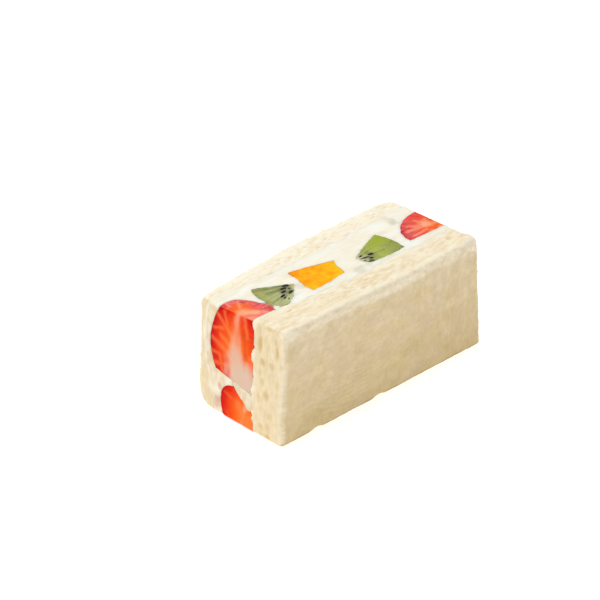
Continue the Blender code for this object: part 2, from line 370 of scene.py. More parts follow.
# %% [markdown]
# Soft food leaves no gaps: bread, cream and fruit lie close on each other, and at the ends the
# fruit even bulges into the edge of the bread in small lobes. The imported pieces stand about 0.3 mm
# apart, which from above would show as a dark line. So every skin asks how far its neighbours are.
# Blender's search tree over their faces answers that for each point, and the skin is then moved
# by that way. The lobes come from the height alone, so bread and fruit share one outline.

# %% How near the neighbours are
FRUIT = [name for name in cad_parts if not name.startswith(("bread", "cream"))]
BREAD = ["bread_near", "bread_far"]
PRESSED = 1.6
LOBE = 1.3


def tree_of(nodes):
    """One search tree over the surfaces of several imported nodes."""
    corners, faces = [], []
    for node in nodes:
        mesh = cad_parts[node].data
        faces += [[len(corners) + index for index in face.vertices] for face in mesh.polygons]
        corners += [vertex.co.copy() for vertex in mesh.vertices]
    return BVHTree.FromPolygons(corners, faces)


def towards(nodes, points, reach):
    """The way from each point to the nodes' nearest surface and its length, in millimetres."""
    surfaces = tree_of(nodes)
    ways = np.zeros_like(points)
    far = np.full(len(points), reach)
    for number, point in enumerate(points):
        found, _, _, distance = surfaces.find_nearest(point, reach * MM)
        if found is not None:
            ways[number] = (np.array(found) - point) / MM
            far[number] = distance / MM
    return ways, far


def press_on(nodes, points, reach, past=0.0):
    """The move in millimetres that lays a skin on close neighbours, or some way past their surface."""
    ways, far = towards(nodes, points, reach)
    ways /= np.maximum(far, 1e-6)[:, None]
    return ways * ((far + past) * ease((reach - far) / (0.5 * reach)))[:, None], far


def lobes(at):
    """How far the fruit bulges into the edge of the bread at the ends, in millimetres."""
    at_end = ease(1.6 - abs(LENGTH / 2 - abs(at[:, 0])) / 1.2)
    low_enough = ease((HEIGHT - 2.0 - at[:, 2]) / 2.5)
    return LOBE * at_end * low_enough * ease(0.65 + 0.75 * waves(at * (0.0, 0.0, 1.0), 2.8, 48))


# %% [markdown]
# A slice shows three kinds of surface. Where the knife cut, at the top and the ends, the bubbles lie
# open. The broad face is closed and nearly flat. Between them runs a torn, paler rim of crumbs, and
# cream smears over the inner edge. Noise alone would spread the bubbles evenly, so the pores that
# stand out in the photograph are listed as well. Each has its place in the face, its half sizes in
# millimetres and its strength.

# %% The two slices and their largest pores
SLICES = {
    "bread_near": {"name": "near_slice", "out": -1, "warmth": 0.1, "painted_end_shade": 0.24},
    "bread_far": {"name": "far_slice", "out": 1, "warmth": -0.1, "painted_end_shade": 0.5},
}
END_PORES = (
    (-14.9, 45.4, 2.6, 1.0, 0.5), (-10.3, 38.2, 1.5, 5.0, 1.0), (-10.0, 43.0, 1.4, 2.6, 0.5),
    (-11.9, 31.1, 1.7, 2.0, 0.9), (-14.3, 37.2, 1.2, 4.5, 0.4), (-13.7, 41.2, 1.2, 2.2, 0.3),
    (-18.4, 41.0, 1.1, 2.2, 0.5), (-19.1, 37.2, 1.2, 3.2, 0.9), (-16.6, 31.1, 2.1, 1.8, 0.6),
    (-10.6, 26.9, 1.2, 2.0, 0.4), (-21.3, 32.2, 1.0, 1.5, 0.4), (-14.0, 32.0, 1.1, 1.4, 0.4),
    (-11.7, 23.2, 1.7, 2.4, 0.5), (-19.7, 24.3, 1.2, 2.8, 0.5), (-14.1, 18.1, 2.1, 2.6, 0.8),
    (-10.4, 16.4, 0.9, 2.2, 0.4), (-11.4, 12.6, 1.3, 1.3, 0.4), (-16.1, 10.7, 1.9, 2.4, 0.5),
    (-11.7, 4.5, 1.9, 1.8, 0.6), (-15.3, 5.4, 1.5, 2.8, 0.5), (-15.0, 1.4, 1.9, 1.5, 1.0),
    (-21.8, 9.5, 1.6, 0.9, 0.4), (-11.4, 1.8, 1.3, 1.2, 0.4), (-19.7, 20.3, 1.9, 1.6, 0.3),
)
CUT_PORES = (
    (11.2, -14.5, 5.5, 1.3, 0.6), (0.9, -16.5, 2.5, 0.8, 0.4), (-5.3, -13.4, 2.5, 0.8, 0.4),
    (-20.1, -16.5, 2.0, 1.0, 0.4), (-19.5, -13.2, 2.0, 0.8, 0.4), (-24.4, -17.3, 3.5, 1.0, 0.4),
    (-22.2, -20.5, 3.0, 1.2, 0.3), (-36.4, -12.7, 2.5, 0.8, 0.3), (-35.5, -17.8, 3.0, 1.0, 0.3),
    (-50.5, -18.6, 4.5, 1.5, 0.5), (45.7, -14.6, 1.6, 1.0, 0.8), (51.0, -17.0, 2.2, 1.4, 0.5),
    (7.7, 20.5, 4.0, 1.2, 0.7), (22.6, 19.5, 3.0, 1.0, 0.4), (-43.2, 17.4, 3.0, 0.9, 0.4),
)


def spots(flat, listed):
    """Soft round spots in a plane, each listed by its middle, half sizes and strength."""
    shade = np.zeros(len(flat))
    for middle_a, middle_b, half_a, half_b, strength in listed:
        apart = np.hypot((flat[:, 0] - middle_a) / half_a, (flat[:, 1] - middle_b) / half_b)
        shade = np.maximum(shade, strength * ease(1.15 - apart))
    return shade


print("pores listed by hand:", len(END_PORES), "for the ends,", len(CUT_PORES), "for the top")

# %% [markdown]
# The other bubbles are flat discs, because dough rises in the plane of the slice. They are pits in
# two sizes, and a slow drift bends their rows, so that the grid behind them never shows. Low on
# the closed face are faint curves that hang like a slack rope, where the dough was folded into
# its tin.

# %% Bubbles and hanging curves
DISC = np.array((3.4, 1.0, 3.0))
ARC_MIDDLE = (-14.0, 38.0)
ARC_STEP = 1.8


def bubbles(at):
    """Bubbles that rising dough drew out in the plane of the slice, large ones and small ones."""
    drift = np.column_stack([waves(at, 8.0, seed) for seed in (1, 2, 3)])
    drifted = at + drift * (2.0, 0.9, 2.0)
    large = pits(drifted, DISC, 0.22, 11)
    small = pits(drifted, DISC / (2.2, 1.3, 2.0), 0.4, 23)
    streaks = waves(drifted, DISC * (0.9, 0.8, 0.9), 31, 3)
    return large, small, streaks


def arcs(at):
    """Faint hanging curves low on the closed face, where the dough was folded into its tin."""
    ring = np.hypot((at[:, 0] - ARC_MIDDLE[0]) / 1.6, at[:, 2] - ARC_MIDDLE[1])
    ring = ring + 2.0 * waves(at, 10.0, 71, 2)
    off = np.hypot((at[:, 0] + 18.0) / 26.0, (at[:, 2] - 13.0) / 12.0)
    return np.sin(2 * np.pi * ring / ARC_STEP) * ease(1.3 - off + 0.6 * waves(at, 7.0, 72, 2))


# %% [markdown]
# The kinds of surface are told apart by the way the skin faces and by how far a point is from the
# edges. Painting them by hand would work too, but the same few lines serve both slices here, and
# their borders stay soft and uneven, as torn bread has them.

# %% Where each point of a slice lies
TOP_RIM = (3.0, 4.4)
END_RIM = (2.2, 2.0)
CRUMB = (2.2, 2.2, 2.2)
SMEARED = 2.0
CREAM_NEAR = 0.6


def facing(part):
    """Turns one part of a normal into a smooth share of facing that way."""
    return ease((part - 0.35) / 0.4)


def lie_on_slice(points, normals, out):
    """What each point of a slice is part of, as shares from 0 to 1."""
    on = SimpleNamespace(at=straighten(points), out=out)
    on.cut = facing(np.maximum(abs(normals[:, 0]), abs(normals[:, 2])))
    on.end = facing(abs(normals[:, 0]))
    on.broad = facing(out * normals[:, 1])
    on.hidden = ease((-out * normals[:, 1] - 0.5) / 0.3)
    on.low_down = 1.0 - on.at[:, 2] / HEIGHT
    on.from_broad = np.maximum(0.0, THICKNESS / 2 - out * on.at[:, 1])
    from_top = abs(HEIGHT - on.at[:, 2])
    from_end = abs(LENGTH / 2 - abs(on.at[:, 0]))
    on.torn = waves(on.at, (5.0, 5.0, 3.0), 45, 4)
    top_rim = 0.95 - np.hypot(on.from_broad / TOP_RIM[0], from_top / TOP_RIM[1]) - 0.4 * on.torn
    on.top_rim = ease(top_rim / 0.7 + 0.4)
    end_rim = 1.3 - np.hypot(on.from_broad / END_RIM[0], from_end / END_RIM[1]) - 0.3 * on.torn
    on.rim = np.maximum(on.top_rim, 0.8 * ease(end_rim))
    on.crumbs = pits(on.at, CRUMB, 0.6, 47)
    return on


def smeared(on, points):
    """How much cream lies on each point of the cut faces, thinning out away from the filling."""
    far = towards(["cream"] + FRUIT, points, 5.0)[1]
    width = SMEARED + 1.5 * ease((on.at[:, 0] - 20.0) / 15.0)
    width = np.maximum(0.4, width + 2.0 * waves(on.at, (5.0, 2.0, 5.0), 46, 2))
    return on.cut * ease(1.0 - (far - CREAM_NEAR) / width)


# %% [markdown]
# Each pattern belongs to one kind of surface, so each is multiplied by the share that says how
# much of that kind a point is: bubbles where the crumb is open, dashes and curves on the closed
# face.

# %% The patterns of a slice
DASH = (1.9, 1.9, 0.8)


def add_patterns(on):
    """Adds the bubbles, dashes and curves of a slice to what is known of its points."""
    on.large, on.small, on.streaks = bubbles(on.at)
    end_z = np.where(on.at[:, 0] < 0.0, on.at[:, 2], HEIGHT - on.at[:, 2])
    in_end = np.column_stack([on.at[:, 1], end_z]) + 0.3 * on.torn[:, None]
    in_top = on.at[:, :2] + 0.5 * on.torn[:, None]
    on.drawn = np.maximum(
        on.end * spots(in_end, END_PORES), on.cut * (1.0 - on.end) * spots(in_top, CUT_PORES)
    )
    on.open_crumb = np.maximum(on.cut * (1.0 - 0.5 * on.rim), 0.6 * on.top_rim)
    on.open_crumb = on.open_crumb * (1.0 - on.smear)
    on.dashes = on.broad * pits(on.at, DASH, 0.15 + 0.15 * on.low_down, 41)
    on.lines = on.broad * arcs(on.at)


# %% [markdown]
# The relief is a height in millimetres along the normal: low lumps, crumbs on the torn rim, and
# hollows where the bubbles and dashes are. Three larger forms are moved in a direction of their
# own: the inner lip that the fruit bulges into, the two nicks in the lower edge, and the low crest
# at the far top corner.

# %% The relief of a slice, in millimetres
LARGE_DEEP, SMALL_DEEP, DRAWN_DEEP, DASH_DEEP = 0.28, 0.14, 0.5, 0.12
LIP = 1.4
NICKS = (-36.0, -3.5)
NICK_SIZE = (3.8, 2.4, 1.5)
CREST = (50.0, -19.0, 46.2)
CREST_SIZE = (6.0, 4.0, 0.9)


def rise_of(on):
    """How far the skin of a slice stands out, in millimetres."""
    deep = np.maximum(
        (LARGE_DEEP - 0.2 * on.end) * on.large, (SMALL_DEEP - 0.07 * on.end) * on.small
    )
    deep = np.maximum(deep, DRAWN_DEEP * on.drawn)
    rise = 0.06 * waves(on.at, 3.2, 51, 2) + 0.03 * waves(on.at, 0.9, 61) + 0.015 * on.lines
    rise += on.rim * (0.2 * on.torn + 0.4 * on.crumbs)
    rise -= on.open_crumb * deep + DASH_DEEP * on.dashes
    return rise


def slice_moves(on, points, normals):
    """The whole move of each point of a slice, in millimetres."""
    pressed, to_fruit = press_on(FRUIT, points, PRESSED)
    move = np.where(on.hidden > 0.5, 0.0, rise_of(on))[:, None] * normals + pressed
    lip = ease(1.4 - (on.from_broad.max() - on.from_broad) / LIP)
    lip *= ease((PRESSED - to_fruit) / (0.5 * PRESSED))
    move[:, 1] += on.out * lip * lobes(on.at)
    crest = ease(1.2 - np.linalg.norm((on.at - CREST) / CREST_SIZE, axis=1))
    move[:, 2] += CREST_SIZE[2] * crest
    for x in NICKS:
        off = np.linalg.norm((on.at - (x, -THICKNESS / 2, 0.0)) / NICK_SIZE, axis=1)
        move[:, 2] += NICK_SIZE[2] * ease(1.0 - off)
    return move


# %% [markdown]
# The colours follow the same patterns, so a dark bubble is always a deep one, and its darker ochre is
# partly painted shade. The numbers are stored on the skin, because a shader could not work out the
# distance to the rim by itself. The foot, the lowest millimetres of the broad face, is painted darker
# as a contact shadow where the slice stands on the table.

# %% The colours of a slice, and both skins
BREAD_QUADS = 0.43
CONTACT_SHADOW_HEIGHT = 1.9


def paint_slice(piece, on, warmth, painted_end_shade):
    """Stores what the bread's material reads."""
    mottle = waves(on.at, (5.0, 5.0, 3.5), 75, 4) + 0.5 * waves(on.at, 1.2, 79, 2)
    upright = waves(on.at, (0.9, 2.0, 5.0), 76, 2) * ease((on.at[:, 0] + 10.0) / 40.0)
    lying = waves(on.at, (4.0, 2.0, 0.9), 77, 2) * ease((30.0 - on.at[:, 0]) / 40.0)
    # The end faces of the slices are painted darker, as shade.
    tone = 0.52 - warmth - painted_end_shade * on.end
    tone += (0.26 - 0.1 * on.end) * on.streaks
    # The broad face is painted darker towards the bottom, as shade.
    closed = 0.5 + 0.11 * mottle + 0.05 * (upright + lying + on.lines) - 0.24 * on.low_down
    # The lowest millimetres of the broad face are painted darker: a painted contact shadow where the
    # slice stands on the table.
    contact_shadow = ease((CONTACT_SHADOW_HEIGHT - on.at[:, 2]) / 1.6)
    closed -= 0.45 * contact_shadow
    pore = (1.0 - 0.6 * on.end) * np.maximum(0.6 * on.large, 0.3 * on.small)
    pore = on.open_crumb * np.maximum(pore, (0.55 + 0.35 * on.end) * on.drawn)
    fuzz = 0.55 + 0.3 * on.crumbs + 0.25 * waves(on.at, (2.0, 1.5, 1.0), 49, 2)
    paint(
        piece, tone=tone + (closed - tone) * on.broad,
        warm=ease(0.3 + 0.35 * waves(on.at, 7.0, 78, 4) + 0.35 * on.low_down),
        pore=np.maximum(pore, 0.4 * on.dashes), broad=on.broad,
        pale=np.maximum(on.rim * fuzz, 0.8 * on.smear) * (1.0 - contact_shadow),
    )


for node, facts in SLICES.items():
    piece = skin_over(node, facts["name"], BREAD_QUADS, 4)
    points, normals = read(piece)
    on = lie_on_slice(points, normals, facts["out"])
    on.smear = smeared(on, points)
    add_patterns(on)
    write(piece, points + slice_moves(on, points, normals) * MM)
    paint_slice(piece, on, facts["warmth"], facts["painted_end_shade"])
    hand_over(piece, "bread", bread, node)

# %% [markdown]
# The cream is whipped and lightly sweetened, spread with a palette knife and then cut through with the
# bread. It is smooth, satin and very pale, and it smears over the edge of the crumb, so the eye hardly
# finds where one ends. The knife left swirls in it about 4 mm wide. At the ends it is painted a little
# darker as shade, and juice from the fruit has stained it grey-green in a few places and pink beside
# the low strawberry.

# %% Whipped cream: satin fat foam
cream, tree, shader, place = new_material(
    "whipped_cream", Roughness=0.5, IOR=1.38, Specular_IOR_Level=0.3, Subsurface_Weight=0.5,
    Subsurface_Scale=2.0 * MM,
)
shader.inputs["Subsurface Radius"].default_value = (1.0, 0.85, 0.6)
SMEAR = 4.0

tone, juice, blush = [
    add_node(tree, "ShaderNodeAttribute", attribute_name=name)
    for name in ("tone", "juice", "blush")
]
swirl = add_node(
    tree, "ShaderNodeTexNoise",
    {"Vector": place, "Scale": 1.0 / (SMEAR * MM), "Detail": 4.0, "Distortion": 1.2},
)
swirled = add_node(
    tree, "ShaderNodeMath", {0: (swirl, "Fac"), 1: 0.4, 2: (tone, "Fac")}, operation="MULTIPLY_ADD"
)
# The lowest stop of this ramp is the painted shade of the cream's ends.
white = add_node(
    tree, "ShaderNodeValToRGB", {"Fac": (swirled, "Value")},
    stops=((0.0, "E2CEAA"), (0.3, "F3E9D0"), (0.7, "F9F3E2"), (1.0, "FDFAF0")),
)
colour = (white, "Color")
for share, over in ((juice, "C9C8B4"), (blush, "D29A80")):
    layer = {"Factor": (share, "Fac"), "A": colour, "B": linear(over)}
    colour = (add_node(tree, "ShaderNodeMix", layer, data_type="RGBA"), "Result")
bump = add_node(tree, "ShaderNodeBump", {"Height": (swirl, "Fac"), "Distance": 0.1 * MM})
finish(tree, shader, colour, bump)

# %% [markdown]
# The cream is one body with a hollow for each piece of fruit, so most of its skin is hidden. Only
# what faces up or out to the ends is shaped: it is lifted a little beside the fruit and the bread,
# and waved where the knife went over it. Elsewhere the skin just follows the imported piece.

# %% The part of the cream that shows
CREAM_QUADS = 0.5
SHELL = 1.6

piece = skin_over("cream", "whipped_cream", CREAM_QUADS, 2)
points, normals = read(piece)
at = straighten(points)
outward = np.zeros_like(points)
outward[:, 2] = ease((at[:, 2] - HEIGHT + SHELL) / 0.8)
outward[:, 0] = np.sign(at[:, 0]) * ease((abs(at[:, 0]) - LENGTH / 2 + SHELL) / 0.8)
shown = np.maximum(outward[:, 2], abs(outward[:, 0]))
print(round(100 * np.mean(shown > 0.5)), "percent of the cream's skin shows")

# %% [markdown]
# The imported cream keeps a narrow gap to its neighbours, which would show as a dark line. So a strip
# of its skin is pulled sideways over the gap, in soft lobes: a little way over the fruit, and
# further and less evenly over the bread, as the knife left it.

# %% The cream drawn over the gaps
KNIFE = (10.0, 1.5, 10.0)


def sideways(ways, far):
    """The direction to the neighbour, kept within the face that shows."""
    way = ways / np.maximum(far, 1e-6)[:, None]
    return way - outward * (way * outward).sum(1)[:, None]


def draw_over(nodes, least, most, width, lobe, seed):
    """Pulls a strip of the skin over the nearest neighbour, by least to most past its surface."""
    ways, far = towards(nodes, points, width)
    past = least + (most - least) * ease(0.5 + 0.9 * waves(at, (lobe, 2.0, lobe), seed, 2)) * shown
    pull = ease((width - far) / (width - 0.4))
    return sideways(ways, far) * (pull * (far + past))[:, None], far


over_fruit, to_fruit = draw_over(FRUIT, 0.05, 0.35, 1.5, 2.2, 85)
over_bread, to_bread = draw_over(BREAD, 0.6, 1.8, 2.6, 4.0, 81)
over_bread *= ease(to_fruit - 0.45)[:, None]
knife = waves(at + waves(at, 9.0, 91)[:, None], KNIFE, 92, 3)
lift = 0.1 * knife * ease(to_bread - 1.2) + 0.12 * ease((0.9 - to_fruit) / 0.4)
lift += 0.14 * ease((2.2 - to_bread) / 0.8) - 0.35 * ease((1.3 - to_bread) / 0.9)
write(piece, points + (over_bread + over_fruit + outward * lift[:, None]) * MM)
print("the cream is lifted by", round(lift.min(), 2), "to", round(lift.max(), 2), "mm")

# %% [markdown]
# Fruit juice spreads in cream, so each stain is a soft blot with an uneven edge. The list holds
# their middles, half sizes and strengths, read off the photograph.

# %% The cream's tone with its painted shade at the ends, and its stains
STAINS = {
    "juice": (
        ((40.2, 8.5, 46.0), (2.4, 3.4, 3.0), 0.7), ((2.0, -6.9, 46.0), (3.6, 1.8, 3.0), 0.6),
        ((7.5, -7.0, 46.0), (3.0, 1.2, 3.0), 0.4), ((-23.6, -0.5, 46.0), (1.6, 2.6, 3.0), 0.4),
    ),
    "blush": (
        ((-54.0, 11.2, 5.5), (2.5, 0.9, 4.0), 0.8), ((-54.0, 10.8, 12.0), (2.5, 0.9, 1.6), 0.7),
    ),
}

# The ends of the cream are painted darker as shade, less so in their top 5 mm.
in_end = abs(outward[:, 0]) * ease((0.8 - normals[:, 2]) / 0.7)
in_end *= 0.55 + 0.45 * ease((HEIGHT - at[:, 2]) / 5.0)
shade = in_end * (0.5 - 0.2 * waves(at, (3.0, 3.0, 5.0), 93, 3))
paint(piece, tone=0.45 + 0.25 * knife - shade)
for name, blots in STAINS.items():
    stain = np.zeros(len(at))
    for middle, size, strength in blots:
        apart = np.linalg.norm((at - middle) / size, axis=1) + 0.35 * waves(at, 1.6, 95, 2)
        stain = np.maximum(stain, strength * ease(1.25 - apart))
    paint(piece, **{name: stain})
hand_over(piece, "cream", cream, "cream")

# %% [markdown]
# A strawberry cut lengthwise shows a pale core that widens to the stalk, orange-red flesh, a thin deep
# red skin, and pale bundles that run out from the core to each pip. The knife went through each berry
# at its own angle, so a picture of a cut berry laid on the face would not fit. The inside is described
# in the round instead: for each point, its share of the way out to the skin and how far it is from the
# core line. Fine feathers run out from the hub in the cut face, under a painted pink sheen over its
# outer flesh, which stands for the light the wet cut face reflects from above. The cells of the flesh
# are about 0.3 mm wide, too fine to show, so the bump draws them at 0.9 mm.

# %% Cut strawberry flesh: wet, and red deep into the fruit
strawberry, tree, shader, place = new_material(
    "cut_strawberry_flesh", Roughness=0.35, IOR=1.36, Specular_IOR_Level=0.06,
    Subsurface_Weight=0.15, Subsurface_Scale=1.2 * MM,
)
shader.inputs["Subsurface Radius"].default_value = (1.0, 0.3, 0.15)
CELLS = 0.9

share, core, vein, calyx, haze, dark = [
    add_node(tree, "ShaderNodeAttribute", attribute_name=name)
    for name in ("share", "core", "vein", "calyx", "haze", "dark")
]
flesh = add_node(
    tree, "ShaderNodeValToRGB", {"Fac": (share, "Fac")},
    stops=((0.25, "FA7420"), (0.55, "F0520C"), (0.78, "E42804"), (0.92, "CC0E02"), (1.0, "B40802")),
)
middle = add_node(
    tree, "ShaderNodeValToRGB", {"Fac": (calyx, "Fac")},
    stops=((0.1, "FFB088"), (0.4, "F59C74"), (0.58, "E6B298"), (0.8, "DCC4AC")),
)
colour = (flesh, "Color")
# EE7C7C is a painted sheen: pink light reflected from the wet cut face.
for amount, over in (
    (vein, linear("FC8E4C")), (haze, linear("EE7C7C")), (core, (middle, "Color")),
    (dark, linear("AE1602")),
):
    layer = {"Factor": (amount, "Fac"), "A": colour, "B": over}
    colour = (add_node(tree, "ShaderNodeMix", layer, data_type="RGBA"), "Result")
wet = add_node(
    tree, "ShaderNodeTexNoise", {"Vector": place, "Scale": 1.0 / (CELLS * MM), "Detail": 3.0}
)
bump = add_node(tree, "ShaderNodeBump", {"Height": (wet, "Fac"), "Distance": 0.1 * MM})
finish(tree, shader, colour, bump)

# %% [markdown]
# There are four berries: the big one at the near end, a low one under it, one at the far end, and a
# low one there that the photograph doesn't show. For each, the list gives the middle and half
# sizes of the whole berry, most of it cut away, and its core line in the round, with half widths.
# The hub is where the feathers of the cut face meet, and the painted sheen, a pink reflection of the
# light on the wet cut face, has its strength and the shares of the way to the skin between which it
# comes in. Where the cut only skims the berry, the colours run from middle to rim over a shorter way,
# by the number called skim. Last come the bundles and dark places that stand out, as lines drawn in
# the end face and in the cut face: two places and a half width.

# %% What the strawberries show
BERRIES = {
    "strawberry_corner": {
        "name": "corner_strawberry", "middle": (-51.4, 2.4, 29.5), "half": (12.6, 14.3),
        "up": 21.5, "down": 17.0, "hub": (-53.0, 0.0), "haze": (0.95, 0.76, 0.92), "skim": 2.0,
        "core": (
            (-52.5, -5.0, 12.0, 9.5), (-52.5, -0.2, 21.0, 8.4), (-52.5, 2.2, 26.5, 6.2),
            (-52.5, 2.6, 33.6, 2.9), (-52.2, 2.2, 42.0, 2.6), (-51.8, 0.6, 46.6, 2.8),
            (-48.5, -3.0, 46.6, 1.8),
        ),
        "end_pale": (
            (4.4, 35.4, 12.4, 42.6, 1.7), (5.6, 27.6, 14.9, 31.3, 1.9),
            (5.6, 22.6, 14.2, 21.0, 1.6), (12.0, 25.6, 15.5, 25.8, 1.2),
            (4.6, 30.4, 10.6, 34.2, 1.7), (9.2, 37.2, 14.6, 36.0, 1.2),
            (-2.0, 45.0, -3.7, 38.0, 1.6), (-5.0, 30.0, -4.0, 18.0, 1.7),
            (7.0, 39.8, 8.6, 44.6, 1.2), (11.0, 25.5, 9.0, 18.0, 1.5),
        ),
        "end_dark": (
            (-1.7, 39.6, -2.7, 29.0, 1.9), (-6.3, 36.4, -6.1, 35.2, 1.3),
            (-5.6, 45.0, -5.2, 44.8, 1.0), (-5.0, 39.2, -5.0, 38.7, 0.6),
            (9.5, 45.0, 6.5, 44.6, 0.6),
        ),
        "cut_pale": (
            (-54.4, 3.0, -46.4, -4.6, 2.4), (-54.4, -2.6, -50.6, -6.4, 2.6),
            (-50.5, 4.0, -47.4, 8.4, 1.1), (-52.0, 8.0, -51.2, 11.0, 1.0),
        ),
        "cut_dark": (
            (-43.2, -4.6, -43.0, -5.2, 0.9), (-46.7, -5.9, -46.4, -5.9, 0.6),
            (-47.0, 7.4, -46.2, 6.2, 1.1),
        ),
    },
    "strawberry_low": {
        "name": "low_strawberry", "middle": (-53.2, -3.5, 3.0), "half": (13.0, 14.3),
        "up": 19.0, "down": 17.0, "hub": None, "haze": None, "skim": 0.0,
        "core": ((-53.0, -0.4, -3.0, 0.6), (-53.0, -3.4, 8.4, 1.5)),
        "end_pale": ((0.5, 8.5, -4.5, 2.0, 2.8), (-2.0, 2.0, -6.0, 5.0, 2.4)),
        "end_dark": (
            (6.5, 15.3, 6.0, 15.0, 0.9), (4.4, 15.4, 1.8, 13.9, 0.9), (9.6, 1.6, 4.4, 0.2, 0.9),
            (-5.6, 3.0, -5.9, 1.0, 0.7),
        ),
        "cut_pale": (), "cut_dark": (),
    },
    "strawberry_far": {
        "name": "far_strawberry", "middle": (54.0, -7.0, 38.0), "half": (21.0, 20.0),
        "up": 26.0, "down": 19.5, "hub": (49.5, -2.6), "haze": (0.55, 0.35, 0.85), "skim": 0.0,
        "core": ((52.5, -4.5, 14.0, 5.0), (52.0, -4.0, 28.0, 3.4), (48.0, -1.0, 47.0, 2.9)),
        "end_pale": (
            (-2.0, 34.0, 5.0, 40.0, 1.6), (-1.0, 28.0, 6.0, 30.5, 1.7), (-1.5, 22.0, 5.0, 23.0, 1.5),
            (-6.5, 36.0, -8.5, 42.0, 1.3),
        ),
        "end_dark": (),
        "cut_pale": (
            (47.0, -2.5, 37.6, -0.6, 1.3), (46.0, -1.0, 41.0, 2.0, 1.1), (45.5, -4.4, 37.6, -4.6, 1.1),
            (46.5, -6.0, 41.0, -7.4, 1.0), (50.0, -1.0, 50.6, 1.6, 1.4), (50.6, -6.8, 54.0, -7.2, 1.7),
            (51.0, -2.8, 54.0, -3.2, 1.9), (48.0, 0.4, 47.0, 3.4, 1.0), (47.0, -0.4, 42.8, -0.8, 2.3),
        ),
        "cut_dark": (
            (33.4, -6.2, 34.4, -6.6, 1.2), (38.3, 2.8, 38.7, 3.0, 0.7), (34.8, -1.6, 35.0, -1.9, 0.7),
            (39.6, -7.9, 42.4, -8.2, 0.6), (40.2, 0.6, 41.4, 0.8, 0.5),
        ),
    },
    "strawberry_far_low": {
        "name": "far_low_strawberry", "middle": (53.2, 2.2, 6.4), "half": (11.5, 8.8),
        "up": 8.6, "down": 13.0, "hub": None, "haze": None, "skim": 0.0,
        "core": ((53.0, 1.0, -4.0, 3.0), (53.0, 1.4, 9.0, 1.6)),
        "end_pale": (
            (2.6, 8.0, 6.0, 11.5, 1.3), (3.0, 4.0, 8.0, 5.4, 1.3), (-1.0, 8.4, -4.0, 11.0, 1.2),
        ),
        "end_dark": (), "cut_pale": (), "cut_dark": (),
    },
}
print("the berries:", ", ".join(berry["name"] for berry in BERRIES.values()))

# %% [markdown]
# The bundles run from the core out to the pips and a little up. They are pits again, but laid out
# on a drum round the core line: two directions round it and one along it. Every cut through the
# drum then shows them as thin lines that run outwards.

# %% Patterns inside a strawberry
DRUM = 6.0
RISE = 0.3
FEATHERS = 11.0


def nearest_on(line, at):
    """For each point the nearest place on the core line, its half width, and how far along."""
    line = np.array(line, float)
    steps = np.linspace(0.0, len(line) - 1.0, 70)
    dense = np.column_stack([np.interp(steps, range(len(line)), column) for column in line.T])
    apart = np.linalg.norm(at[:, None, :] - dense[None, :, :3], axis=2)
    nearest = apart.argmin(1)
    return dense[nearest, :3], dense[nearest, 3], steps[nearest] / (len(line) - 1.0)


def bundles(out, at, seed):
    """Threads that run outwards and a little up, thin lines on any cut through the berry."""
    away = np.linalg.norm(out, axis=1)
    unit = out[:, :2] / np.maximum(np.linalg.norm(out[:, :2], axis=1), 1e-3)[:, None]
    drum = np.column_stack([unit * DRUM, at[:, 2] - RISE * away])
    return ease((pits(drum, (3.0, 3.0, 3.4), 0.7, seed) - 0.2) / 0.8)


def near_lines(flat, lines):
    """How near points in a plane are to drawn lines: 1 on a line, 0 past its half width."""
    nearness = np.zeros(len(flat))
    for start_a, start_b, end_a, end_b, half_width in lines:
        start = np.array((start_a, start_b))
        way = np.array((end_a, end_b)) - start
        along = np.clip((flat - start) @ way / (way @ way), 0.0, 1.0)
        apart = np.linalg.norm(flat - start - along[:, None] * way, axis=1)
        nearness = np.maximum(nearness, ease(1.0 - apart / half_width))
    return nearness


def feathers(flat, hub, seed):
    """Fine streaks that run outwards from one place in the cut face."""
    out = flat - hub
    away = np.linalg.norm(out, axis=1)
    fan = np.column_stack([out / np.maximum(away, 1e-3)[:, None] * FEATHERS, 0.12 * away])
    return waves(fan, 1.0, seed, 2)


# %% [markdown]
# For each point the script works out where it lies in the berry, and from that how much of each
# colour it gets. The relief is slight, because a sharp knife leaves wet flesh nearly flat: the
# bundles stand out by less than a tenth of a millimetre. At the ends the skin bulges to the lobes
# that the bread's edge also follows.

# %% The skins of the strawberries
BERRY_QUADS = 0.3


def lie_in_berry(berry, at, normals):
    """Where each point lies in its berry: share of the way out, core, faces and lines."""
    off = at - berry["middle"]
    tall = np.where(off[:, 2] > 0, berry["up"], berry["down"])
    half = np.column_stack([np.full_like(tall, side) for side in berry["half"]] + [tall])
    on = SimpleNamespace(at=at)
    on.share = np.linalg.norm(off / half, axis=1) + 0.06 * waves(at, 2.5, 101, 3)
    on_core, width, on.along = nearest_on(berry["core"], at)
    on.out = at - on_core
    apart = np.linalg.norm(on.out, axis=1)
    on.core = ease(1.35 - apart / width + 0.2 * waves(at, (2.0, 2.0, 5.0), 105, 2))
    on.end = ease((abs(normals[:, 0]) - 0.5) / 0.3)
    on.cut = ease((normals[:, 2] - 0.5) / 0.3)
    wobbled = at + 0.3 * np.column_stack([waves(at, 1.5, seed) for seed in (106, 107, 108)])
    on.flat = wobbled[:, :2]
    for name in ("end_pale", "end_dark"):
        setattr(on, name, on.end * near_lines(wobbled[:, 1:], berry[name]))
    for name in ("cut_pale", "cut_dark"):
        setattr(on, name, on.cut * near_lines(on.flat, berry[name]))
    return on


def haze_of(berry, on, feather):
    """The painted pink sheen, reflected light painted on the cut face, from its two shares of the way
    outwards.
    """
    strength, begins, full = berry["haze"]
    mottled = 0.65 + 0.2 * feather + 0.3 * waves(on.at, 0.9, 116, 2)
    return strength * ease((on.share - begins) / (full - begins)) * (on.cut * ease(mottled))


